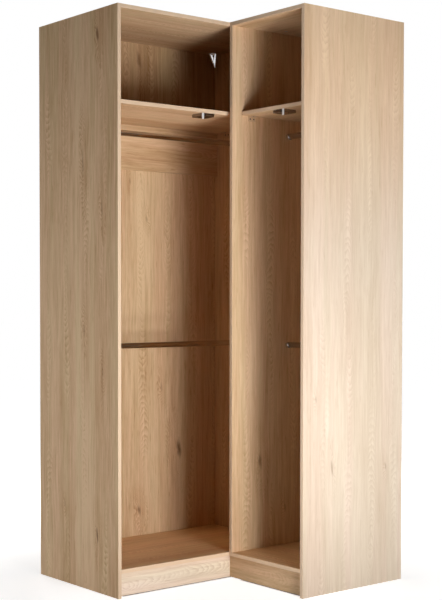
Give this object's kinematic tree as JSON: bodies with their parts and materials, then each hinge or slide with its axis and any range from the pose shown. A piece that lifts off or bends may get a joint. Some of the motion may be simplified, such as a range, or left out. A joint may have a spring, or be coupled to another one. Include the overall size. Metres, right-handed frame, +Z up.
{
  "type": "corner wardrobe",
  "caption": "Open corner wardrobe in oak-finished board: a wide corner unit and a narrow unit at a right angle, with shelves, plinths and lift-out hanging rails.",
  "frame": {"origin": "on the floor, at the middle of the footprint's bounding rectangle", "axes": "+Z up; +X is the way the left unit's opening faces; -Y is the way the right unit's opening faces"},
  "size_m": [1.0304, 1.16, 2.36],
  "materials": {
    "oak_board": "light oak woodgrain laminate, satin, with matching banded edges",
    "oak_back": "light oak woodgrain laminate on thin board, satin",
    "rail_chrome": "bright chromed steel tube",
    "fitting_chrome": "bright plated steel",
    "cam_zinc": "die-cast zinc, dull",
    "beige_fitting": "beige paint, satin"
  },
  "bodies": {
    "carcass": {"corner_end_panel": "oak_board", "corner_partition": "oak_board", "left_back_panel_far": "oak_back", "left_back_panel_near": "oak_back", "left_back_panel_upper": "oak_back", "left_back_stretcher": "oak_board", "left_back_strip": "oak_back", "left_cam_far_front": "cam_zinc", "left_cam_far_rear": "cam_zinc", "left_cam_near_front": "cam_zinc", "left_cam_near_rear": "cam_zinc", "left_catch_housing": "fitting_chrome", "left_catch_plate": "fitting_chrome", "left_corner_bracket_far": "fitting_chrome", "left_corner_bracket_near": "fitting_chrome", "left_floor_panel": "oak_board", "left_lower_socket_far": "fitting_chrome", "left_lower_socket_near": "fitting_chrome", "left_plinth": "oak_board", "left_rear_plinth": "oak_board", "left_shelf": "oak_board", "left_shelf_bracket_far_front": "beige_fitting", "left_shelf_bracket_far_rear": "beige_fitting", "left_shelf_bracket_near_front": "beige_fitting", "left_shelf_bracket_near_rear": "beige_fitting", "left_side_panel": "oak_board", "left_top_panel": "oak_board", "left_upper_socket_far": "fitting_chrome", "left_upper_socket_near": "fitting_chrome", "right_back_panel": "oak_back", "right_back_stretcher": "oak_board", "right_cam_far_front": "cam_zinc", "right_cam_far_rear": "cam_zinc", "right_cam_near_front": "cam_zinc", "right_cam_near_rear": "cam_zinc", "right_catch_housing": "fitting_chrome", "right_catch_plate": "fitting_chrome", "right_corner_bracket_far": "fitting_chrome", "right_corner_bracket_near": "fitting_chrome", "right_floor_panel": "oak_board", "right_lower_socket_far": "fitting_chrome", "right_lower_socket_near": "fitting_chrome", "right_plinth": "oak_board", "right_rear_plinth": "oak_board", "right_shelf": "oak_board", "right_shelf_bracket_far_front": "beige_fitting", "right_shelf_bracket_far_rear": "beige_fitting", "right_shelf_bracket_near_front": "beige_fitting", "right_shelf_bracket_near_rear": "beige_fitting", "right_side_panel": "oak_board", "right_top_panel": "oak_board", "right_upper_socket_far": "fitting_chrome", "right_upper_socket_near": "fitting_chrome"},
    "left_lower_rail_body": {"left_lower_rail": "rail_chrome"},
    "left_upper_rail_body": {"left_upper_rail": "rail_chrome"},
    "right_lower_rail_body": {"right_lower_rail": "rail_chrome"},
    "right_upper_rail_body": {"right_upper_rail": "rail_chrome"}
  },
  "joints": [
    {"name": "left_lower_rail_lift", "type": "slide", "parent": "carcass", "child": "left_lower_rail_body", "axis": [0, 0, 1], "range_m": [0, 0.04]},
    {"name": "left_upper_rail_lift", "type": "slide", "parent": "carcass", "child": "left_upper_rail_body", "axis": [0, 0, 1], "range_m": [0, 0.04]},
    {"name": "right_lower_rail_lift", "type": "slide", "parent": "carcass", "child": "right_lower_rail_body", "axis": [0, 0, 1], "range_m": [0, 0.04]},
    {"name": "right_upper_rail_lift", "type": "slide", "parent": "carcass", "child": "right_upper_rail_body", "axis": [0, 0, 1], "range_m": [0, 0.04]}
  ]
}
